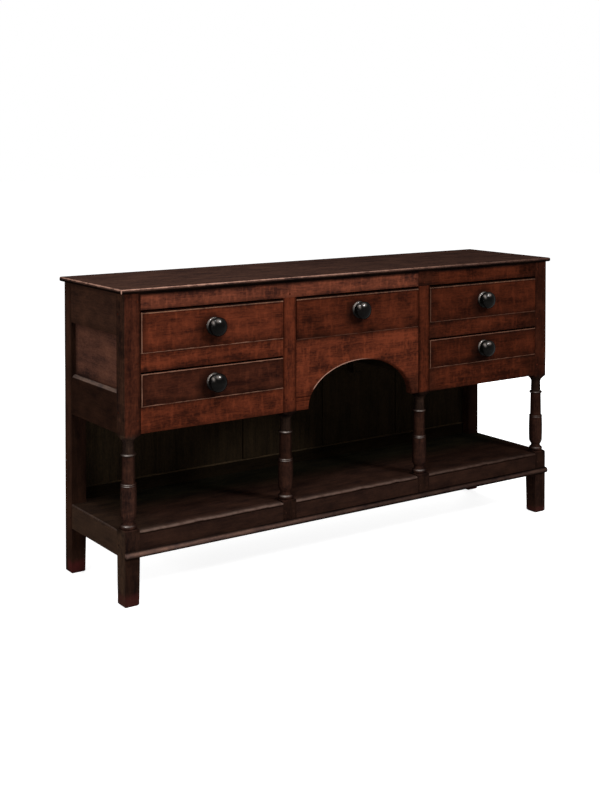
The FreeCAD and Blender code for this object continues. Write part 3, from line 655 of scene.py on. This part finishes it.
def arch_wear_and_highlight(w, along):
    """Mask of the pale line of wear and painted highlight along the left half of the arch's edge: the
    ellipse's equation near one, fading to the right of the crown and some way above the foot."""
    sizes = bpy.context.scene.dresser_sizes
    across = w.math("MULTIPLY", w.math("SUBTRACT", along["x"], sizes.arch_offset), 1.0 / sizes.arch_half)
    up = w.math("MULTIPLY", w.math("SUBTRACT", along["z"], sizes.frieze_bottom), 1.0 / sizes.arch_rise)
    ring = w.math("ADD", w.math("MULTIPLY", across, across), w.math("MULTIPLY", up, up))
    edge = w.fade(ring, 1.045, 1.07)
    run = w.math("MULTIPLY", w.fade(along["x"], -0.04, 0.06), w.fade(up, 0.42, 0.5, 0.0, 0.95))
    return w.math("MULTIPLY", edge, run)


def past(box, low=(0.0, 0.0, 0.0), high=(0.0, 0.0, 0.0)):
    """A box with its two corners moved, so that edges kept free of wear and painted highlight lie outside
    the piece.
    """
    return tuple(tuple(a + b for a, b in zip(corner, by)) for corner, by in zip(box, (low, high)))


def dress(names, *finish, arris=True, **settings):
    """Gives CAD nodes one oak finish, named for the first of them, and rubs down their edges without touching
    their meshes."""
    material = oak(names[0] + "_oak", *finish, **settings)
    for node in names:
        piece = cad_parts[node]
        if not piece.material_slots:
            piece.data.materials.append(material)
        for holder in piece.material_slots:
            holder.material = material
        if arris:
            weld = piece.modifiers.new("Merge", "WELD")
            weld.merge_threshold = HAIR
            rub = piece.modifiers.new("Arris", "BEVEL")
            rub.width = bpy.context.scene.dresser_sizes.arris
            rub.segments = 2
            rub.limit_method = "ANGLE"
            rub.angle_limit = SHARP


# Operators


class DRESSER_OT_posts(Operator):
    """Turns the legs with their square upper posts, blocks and feet, and finishes the rear posts"""

    bl_idname = "dresser.posts"
    bl_label = "Posts and legs"

    def execute(self, context):
        sizes, colours = context.scene.dresser_sizes, context.scene.dresser_colours
        half = sizes.block / 2
        # Height and strength of the stain on each foot
        feet = {
            "front_left": (0.042, 0.3),
            "front_right": (0.024, 0.2),
            "rear_left": (0.045, 0.85),
            "rear_right": (0.03, 0.5),
        }
        for word, side in (("left", -1), ("right", 1)):
            node = "post_front_" + word
            (x0, y0, z0), (x1, y1, z1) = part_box(node)
            x = x0 + half if side < 0 else x1 - half
            y = y0 + half
            lift = sizes.lift if side < 0 else 0.0
            upper = (x1 - x, x - x0, y1 - y, y - y0)
            mesh = leg_mesh(node + "_turned", sizes, (x, y), upper, z0, z1, -side, lift)
            finish = self.finish("front_" + word, foot=feet["front_" + word])
            place("leg_front_" + word, mesh, finish, "carcase", "oak_post", node)
            node = "post_middle_" + word
            (x0, _, z0), (x1, _, _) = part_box(node)
            x = (x0 + x1) / 2
            reach = (x1 - x0) / 2
            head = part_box("front_top_rail_left")[0][2]
            mesh = leg_mesh(node + "_turned", sizes, (x, y), (reach, reach, half, half), z0, head, 0)
            place("leg_middle_" + word, mesh, self.finish("middle_" + word), "carcase", "oak_post", node)
            node = "post_rear_" + word
            (_, y0, _), (_, y1, _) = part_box(node)
            # Painted shade: the front face, inside the case, is darker, most on the right; the outer rear
            # face is dry wood
            faces = (
                ("y", y0 + SKIN, SKIN_SOFTNESS, scaled(colours.side, 0.5 if side < 0 else 0.22)),
                ("y", y1 - SKIN, -SKIN_SOFTNESS, scaled(colours.dry, 0.6)),
            )
            stain = feet["rear_" + word]
            dress([node], colours.side, "z", tone=0.8, box=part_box(node), grime=0.4, zones=faces, foot=stain)
        return {"FINISHED"}

    def finish(self, name, **settings):
        """One oak in shades from the frieze to the foot: the upper post, neck, shaft, barrel and block."""
        sizes, colours = bpy.context.scene.dresser_sizes, bpy.context.scene.dresser_colours
        node = "post_" + name
        (left, _, _), (right, _, _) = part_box(node)
        frieze, shelf = sizes.frieze_bottom, sizes.shelf_top
        # Shares of the colours of the upper front and of the leg, and how bright the rings' painted highlight
        # is
        shares = {
            "front_left": (0.46, 1.0, 0.75),
            "front_right": (0.25, 0.55, 0.25),
            "middle_left": (0.8, 0.62, 0.85),
            "middle_right": (0.55, 0.7, 0.6),
        }
        front, dim, rubbed = shares[name]
        base = scaled(colours.reflection_greyed if "front" in name else colours.frieze, front)
        dull, dull_width = scaled(base, 0.4), 0.006
        zones = []
        if name == "front_right":
            base, zones = scaled(colours.side, 0.85), [("x", right - SKIN, SKIN_SOFTNESS, base)]
        else:
            zones.append(("x", right - dull_width, -dull_width, dull, frieze))
        # On the middle legs, painted shadow under the frieze: a dark band at the top of the neck
        if "middle" in name:
            zones += [
                ("x", left + dull_width, dull_width, dull, frieze),
                ("z", frieze + 0.001, 0.003, colours.grime),
                ("z", frieze - 0.016, 0.006, scaled(colours.neck, dim)),
            ]
        else:
            zones.append(("z", frieze - 0.004, 0.01, scaled(colours.neck, dim)))
        zones += [
            ("z", shelf + COLLAR_LEVEL, 0.002, scaled(colours.shaft, dim)),
            ("z", shelf + RINGS_LEVEL, 0.002, scaled(colours.leg, dim)),
            ("z", shelf + 0.003, 0.004, scaled(colours.shelf, dim)),
            ("z", sizes.rail_bottom, 0.003, scaled(colours.shelf, 0.7)),
        ]
        if name == "front_left":
            zones += [
                ("x", left + SKIN, SKIN_SOFTNESS, colours.flank),
                ("x", left + SKIN, SKIN_SOFTNESS, scaled(colours.side, 0.8), frieze),
            ]
        return oak(
            node + "_oak", base, "z", contrast=1.0, mottle=0.6, rays=0.25,
            box=past(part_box(node), low=(0.0, 0.0, -0.1)), grime=0.3, grime_width=0.006, rubbed=rubbed,
            worn_paint=colours.ring, turned=True, zones=zones, **settings
        )


class DRESSER_OT_knobs(Operator):
    """Turns the five ebonised knobs"""

    bl_idname = "dresser.knobs"
    bl_label = "Knobs"

    def execute(self, context):
        sizes, colours = context.scene.dresser_sizes, context.scene.dresser_colours
        material, w, sockets = new_material("ebonised_knob")
        spot = w.noise(w.add("ShaderNodeTexCoord").outputs["Object"], (60.0, 60.0, 60.0), 4.0)
        tint = solid(colours.knob)
        paint = w.mix(w.fade(spot, 0.35, 0.7, 0.0, 1.0), tint, solid(scaled(tint, 1.8)))
        # Painted highlight: pale patches and a coat where the wear attribute places the knob's highlights
        wear = w.attribute("wear")
        paint = w.mix(w.math("MULTIPLY", wear, 0.45), paint, solid(colours.ring))
        w.link(paint, sockets["Base Color"])
        w.link(w.math("MULTIPLY_ADD", spot, 0.1, 0.14), sockets["Roughness"])
        w.link(w.math("MULTIPLY", wear, 0.8), sockets["Coat Weight"])
        sockets["Coat Roughness"].default_value = 0.12
        sockets["Specular IOR Level"].default_value = 0.025
        for name in DRAWERS:
            node = "drawer_" + name + "_knob"
            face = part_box(node)[0][1] + KNOB_REACH
            mesh = knob_mesh("knob_" + name, sizes, knob_centre(name), face)
            place("knob_" + name, mesh, material, "drawer_" + name, "ebonised_knob", node)
        return {"FINISHED"}


class DRESSER_OT_pot_board(Operator):
    """Makes the pot board's front board with the wear in its edge, and finishes the shelf's other pieces"""

    bl_idname = "dresser.pot_board"
    bl_label = "Pot board"

    def execute(self, context):
        sizes, colours = context.scene.dresser_sizes, context.scene.dresser_colours
        (end, _, bottom), (_, _, top) = POT_BOARD
        dark = scaled(colours.shelf, 0.65)
        # Painted fall-off of light: the shelf darkens from left to right, about this place on x and over
        # this far to each side
        dims_at, dims_over = 0.35, 0.3
        nearer = (("x", dims_at, dims_over, colours.shelf),)
        # Upper faces: painted fall-off of light, painted shade towards the back, painted light at the left
        # end
        upper = (
            ("x", dims_at, dims_over, scaled(colours.shelf, 1.12)),
            ("y", 0.03, -0.07, colours.painted_shade),
            ("x", -0.68, 0.09, scaled(colours.flank, 0.62)),
        )
        # A painted shadow line under the lip
        edge = (("z", bottom + 0.0028, 0.0008, scaled(colours.shelf, 0.4)),)
        # The left end's own face, and a paler line along its upper edge
        left = (
            ("x", end + 0.0008, 0.0004, colours.flank),
            ("x", end + 0.0025, 0.0008, scaled(colours.lip_wear_and_highlight, 0.18), top - 0.003),
        )
        finish = oak(
            "pot_board_oak", dark, "x", contrast=0.7, mottle=0.5, rubbed=0.38, worn_paint=colours.lip_wear_and_highlight,
            zones=upper + edge + left,
        )
        mesh = pot_board_mesh("pot_board_worn", sizes)
        place("pot_board_worn", mesh, finish, "carcase", "oak_shelf", "pot_board_front")
        dress(["pot_board_rear"], dark, "x", contrast=0.7, zones=upper + left)
        dress(["shelf_front_rails"], scaled(colours.shelf, 0.8), "x", zones=nearer)
        dress(["shelf_side_rails"], colours.flank, "y", contrast=0.4, mottle=0.3)
        (_, _, low), (_, _, high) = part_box("base_moulding")
        # Painted light and shade on the half-round: dark along its top, pale through the middle, very dark
        # below
        zones = (
            ("z", high - 0.0025, 0.0025, colours.moulding),
            ("z", low + 0.0075, 0.006, scaled(colours.moulding, 0.06)),
        )
        # Darker towards the right, a painted fall-off of light
        dress(
            ["base_moulding"], scaled(colours.moulding, 0.12), "x", contrast=0.7, mottle=0.8, zones=zones,
            fading=(-0.75, 0.15, 0.32, 1.0),
        )
        dress(["shelf_ledger"], colours.back, "x")
        return {"FINISHED"}


class DRESSER_OT_top(Operator):
    """Finishes the two boards of the top"""

    bl_idname = "dresser.top"
    bl_label = "Top"

    def execute(self, context):
        colours = context.scene.dresser_colours
        front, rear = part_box("top_board_front"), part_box("top_board_rear")
        # Painted highlight along the nosing's upper front and left edges
        whole = past((front[0], rear[1]), (0.0, 0.0, -0.1), (0.1, 0.1, 0.0))
        # Painted shade on the nosing's lower half
        under = (("z", front[0][2] + 0.0065, 0.001, colours.grime),)
        # Both boards darker towards the right, a painted fall-off of light that also dims the highlight
        for node in ("top_board_front", "top_board_rear"):
            dress(
                [node], colours.top, "x", contrast=1.1, mottle=0.4, box=whole, worn=0.9, worn_width=0.0038,
                worn_paint=colours.nosing_wear_and_highlight, zones=under, fading=(-0.8, 0.8, 0.7, 0.12), arris=False,
            )
        return {"FINISHED"}


class DRESSER_OT_frieze(Operator):
    """Finishes the rails, the arched apron and the drawer fronts"""

    bl_idname = "dresser.frieze"
    bl_label = "Frieze"

    def execute(self, context):
        colours, level = context.scene.dresser_colours, context.scene.dresser_sizes.frieze_bottom
        # Share of the colour that each rail has: less to the right, a painted fall-off of light
        tones = {
            "front_top_rail_left": 1.0,
            "front_top_rail_right": 0.42,
            "drawer_rail_left": 0.8,
            "drawer_rail_right": 0.47,
            "bottom_rail_left": 0.72,
            "bottom_rail_right": 0.47,
            "arch_apron": 0.86,
        }
        right_bay = (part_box("post_middle_right")[1][0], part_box("post_front_right")[0][0])
        for node, tone in tones.items():
            base = scaled(colours.reflection_greyed if node == "front_top_rail_left" else colours.frieze, tone)
            zones, ends = (), ()
            if "right" in node:
                ends = (
                    ("x", right_bay[0] + 0.025, 0.04, scaled(colours.reflection_greyed, 0.58 * tone)),
                    ("x", right_bay[1] - 0.06, -0.07, scaled(colours.reflection_greyed, 0.4 * tone)),
                )
            if node == "arch_apron":
                bright, base = base, scaled(base, 0.78)
                # Two thin dark lines across the left foot, a right foot dimmed by a painted fall-off of
                # light, and a brighter crown
                zones = (
                    ("z", level + 0.0395, 0.0004, scaled(base, 0.25)),
                    ("z", level + 0.0365, 0.0004, base),
                    ("z", level + 0.0283, 0.0004, scaled(base, 0.4)),
                    ("z", level + 0.0262, 0.0004, base),
                    ("x", 0.0, -0.02, scaled(colours.reflection_greyed, 0.36)),
                    ("z", level + 0.06, -0.03, bright),
                )
            # Painted shadow of the top's overhang: a dark band along the upper edge of the top rails
            if "top_rail" in node:
                base, zones = colours.grime, (("z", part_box(node)[1][2] - 0.007, 0.005, base),)
            dress(
                [node], base, "x", contrast=1.1, mottle=0.75, rays=0.4, box=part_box(node), grime=0.6,
                grime_width=0.014, zones=zones + ends, arch=node == "arch_apron",
            )
        # Share of the colour, less to the right by a painted fall-off of light, wear and painted highlight
        # of the edges, and brightness of the bead's painted highlight along the top
        fronts = {
            "upper_left": (0.81, 0.7, 0.85),
            "lower_left": (0.43, 0.7, 0.0),
            "middle": (0.56, 0.2, 0.7),
            "upper_right": (0.42, 0.25, 0.5),
            "lower_right": (0.41, 0.4, 0.0),
        }
        # Edges kept free of wear and painted highlight, the shaded right ones among them, are measured from
        # this far outside a front
        outside = 0.05
        for name, (tone, worn, bead) in fronts.items():
            node = "drawer_" + name + "_front"
            base = scaled(colours.reflection_greyed if name == "lower_left" else colours.frieze, tone)
            zones, over = (), 0.0
            if bead:
                face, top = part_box(node)[0][1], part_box(node)[1][2]
                # Down from the top: painted shadow in the gap, the bead's painted highlight, painted shadow
                # under it, and the front, then the inner side darker with painted shade
                zones = (
                    ("z", top - 0.002, 0.0005, scaled(colours.worn, bead)),
                    ("z", top - 0.005, 0.0006, scaled(base, 0.6)),
                    ("z", top - 0.009, 0.002, base),
                    ("y", face + 0.006, -0.0015, scaled(base, 0.6)),
                )
                base, over = colours.grime, outside
            beyond = -outside if name == "middle" else 0.0
            box = past(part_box(node), (beyond, 0.0, 0.0), (outside, 0.0, over))
            dress(
                [node], base, "x", contrast=0.9, mottle=0.6, rays=0.3, box=box, worn=worn, worn_width=0.0030,
                grime=0.65, grime_width=0.03, zones=zones, knob=knob_centre(name),
            )
        low_pegs = (("z", level - 0.05, 0.01, colours.shelf),)
        dress(["joint_pegs"], colours.frieze, "y", tone=0.5, contrast=0.3, zones=low_pegs)
        return {"FINISHED"}


class DRESSER_OT_sides(Operator):
    """Finishes the rails and panels of the two ends"""

    bl_idname = "dresser.sides"
    bl_label = "Ends"

    def execute(self, context):
        colours = context.scene.dresser_colours
        dress(["side_top_rails"], colours.side, "y", box=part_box("side_top_rails"), grime=0.4)
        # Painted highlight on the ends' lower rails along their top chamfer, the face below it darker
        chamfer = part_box("side_bottom_rails")[1][2] - 0.0065
        below = (("z", chamfer, 0.001, scaled(colours.side, 0.48)),)
        dress(["side_bottom_rails"], colours.lip_wear_and_highlight, "y", tone=0.44, zones=below)
        # Painted shadow of the frame: a wide dark band round each panel's edges
        for word in ("left", "right"):
            node = "side_panel_" + word
            dress([node], colours.panel, "y", contrast=0.8, box=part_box(node), grime=0.8, grime_width=0.03)
        return {"FINISHED"}


class DRESSER_OT_inside(Operator):
    """Finishes the back, the drawers' linings and the bearers, runners and blocks inside the case"""

    bl_idname = "dresser.inside"
    bl_label = "Back and inside"

    def execute(self, context):
        colours = context.scene.dresser_colours
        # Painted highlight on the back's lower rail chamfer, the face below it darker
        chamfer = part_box("back_bottom_rail")[1][2] - 0.005
        outer = ("y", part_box("back_panels")[1][1] - SKIN, -SKIN_SOFTNESS, colours.dry)
        below = (("z", chamfer, 0.001, scaled(colours.back, 0.45)), outer)
        plain = {"contrast": 0.9, "mottle": 0.25}
        dress(["back_bottom_rail"], colours.back, "x", tone=2.0, zones=below, **plain)
        dress(["back_top_rail", "back_bearers"], colours.back, "x", zones=(outer,), **plain)
        lit = (("x", -0.6, 0.12, scaled(colours.back, 1.7)), outer)
        dress(["back_muntins", "back_panels"], colours.back, "z", zones=lit, **plain)
        dress(["drawer_runners", "drawer_guides", "drawer_kickers", "top_blocks"], colours.back, "y")
        for name in DRAWERS:
            stem = "drawer_" + name
            dress([stem + "_sides"], colours.lining, "y")
            dress([stem + "_back", stem + "_bottom"], colours.lining, "x")
        return {"FINISHED"}


class DRESSER_OT_stage(Operator):
    """Sets the floor, the soft lamps, the pale room and the camera"""

    bl_idname = "dresser.stage"
    bl_label = "Stage"

    def execute(self, context):
        scene, stage = context.scene, context.scene.dresser_stage
        scene.view_settings.view_transform = "Standard"
        mesh = bpy.data.meshes.new("floor")
        reach = 30.0
        corners = [(-reach, -reach, 0.0), (reach, -reach, 0.0), (reach, reach, 0.0), (-reach, reach, 0.0)]
        mesh.from_pydata(corners, [], [(0, 1, 2, 3)])
        floor = bpy.data.objects.new("floor", mesh)
        scene.collection.objects.link(floor)
        mesh.materials.append(self.floor_paint())
        self.lamp("key_lamp", stage.key, (1.2, -3.0, 2.6), (0.0, -0.1, 0.5), (0.7, 0.7))
        self.lamp("high_lamp", stage.high, (-1.3, -1.3, 3.0), (0.0, -0.1, 0.5), (0.35, 0.35))
        self.lamp("left_lamp", stage.left, (-2.6, -0.8, 0.9), (-0.6, 0.0, 0.5), (0.35, 0.35))
        self.lamp("back_lamp", stage.back, (1.9, 2.7, 0.8), (0.1, 0.2, 0.5), (2.4, 0.5))
        self.room(scene, stage.sky)
        lens = bpy.data.cameras.new("camera")
        lens.lens, lens.sensor_width, lens.sensor_fit = stage.lens, 36.0, "AUTO"
        lens.shift_x, lens.shift_y = stage.shift_x, stage.shift_y
        lens.clip_end = 100.0
        camera = bpy.data.objects.new("camera", lens)
        camera.location = stage.camera_place
        camera.rotation_euler = (math.radians(90.0 - stage.dip), 0.0, math.radians(stage.turn))
        scene.collection.objects.link(camera)
        scene.camera = camera
        return {"FINISHED"}

    def seen(self, w):
        """One for camera, glossy and transmission rays, which see the white room, and nought for the rest."""
        path = w.add("ShaderNodeLightPath").outputs
        shown = w.math("MAXIMUM", path["Is Camera Ray"], path["Is Glossy Ray"])
        return w.math("MAXIMUM", shown, path["Is Transmission Ray"])

    def floor_paint(self):
        """A white floor that keeps the shadow, lifted to the white of the room where it is looked at."""
        material, w, sockets = new_material("white_floor")
        sockets["Base Color"].default_value = (0.8, 0.8, 0.8, 1.0)
        sockets["Roughness"].default_value = 1.0
        sockets["Specular IOR Level"].default_value = 0.0
        sockets["Emission Color"].default_value = (1.0, 1.0, 1.0, 1.0)
        w.link(w.math("MULTIPLY", self.seen(w), 0.8), sockets["Emission Strength"])
        return material

    def lamp(self, name, power, place_at, aim, panel):
        light = bpy.data.lights.new(name, "AREA")
        light.energy, light.shape = power, "RECTANGLE"
        light.size, light.size_y = panel
        lamp = bpy.data.objects.new(name, light)
        lamp.location = place_at
        lamp.rotation_euler = (Vector(aim) - Vector(place_at)).to_track_quat("-Z", "Y").to_euler()
        bpy.context.scene.collection.objects.link(lamp)

    def room(self, scene, strength):
        world = bpy.data.worlds.new("room")
        world.use_nodes = True
        scene.world = world
        w = Wiring(world.node_tree)
        lighting = world.node_tree.nodes["Background"]
        lighting.inputs["Color"].default_value = (1.0, 1.0, 1.0, 1.0)
        lighting.inputs["Strength"].default_value = strength
        white = w.add("ShaderNodeBackground", {"Color": (1.0, 1.0, 1.0, 1.0), "Strength": 1.0}).outputs[0]
        both = w.add("ShaderNodeMixShader", {0: self.seen(w), 1: lighting.outputs[0], 2: white}).outputs[0]
        w.link(both, world.node_tree.nodes["World Output"].inputs["Surface"])


STEPS = (
    DRESSER_OT_posts,
    DRESSER_OT_knobs,
    DRESSER_OT_pot_board,
    DRESSER_OT_top,
    DRESSER_OT_frieze,
    DRESSER_OT_sides,
    DRESSER_OT_inside,
    DRESSER_OT_stage,
)


class DRESSER_PT_panel(Panel):
    """Lists the steps that dress the frame"""

    bl_idname = "DRESSER_PT_panel"
    bl_label = "Dresser base"
    bl_space_type = "VIEW_3D"
    bl_region_type = "UI"
    bl_category = "Dresser"

    def draw(self, context):
        scene = context.scene
        for step in STEPS:
            self.layout.operator(step.bl_idname)
        for group in (scene.dresser_sizes, scene.dresser_colours, scene.dresser_stage):
            for key in group.__annotations__:
                self.layout.prop(group, key)


CLASSES = (DresserSizes, DresserColours, DresserStage) + STEPS + (DRESSER_PT_panel,)


def register():
    for entry in CLASSES:
        bpy.utils.register_class(entry)
    bpy.types.Scene.dresser_sizes = PointerProperty(type=DresserSizes)
    bpy.types.Scene.dresser_colours = PointerProperty(type=DresserColours)
    bpy.types.Scene.dresser_stage = PointerProperty(type=DresserStage)


def unregister():
    del bpy.types.Scene.dresser_stage
    del bpy.types.Scene.dresser_colours
    del bpy.types.Scene.dresser_sizes
    for entry in reversed(CLASSES):
        bpy.utils.unregister_class(entry)


def main():
    register()
    make_oak_grain()
    make_worn_edges()
    bpy.ops.dresser.posts()
    bpy.ops.dresser.knobs()
    bpy.ops.dresser.pot_board()
    bpy.ops.dresser.top()
    bpy.ops.dresser.frieze()
    bpy.ops.dresser.sides()
    bpy.ops.dresser.inside()
    bpy.ops.dresser.stage()


if __name__ == "__main__":
    main()
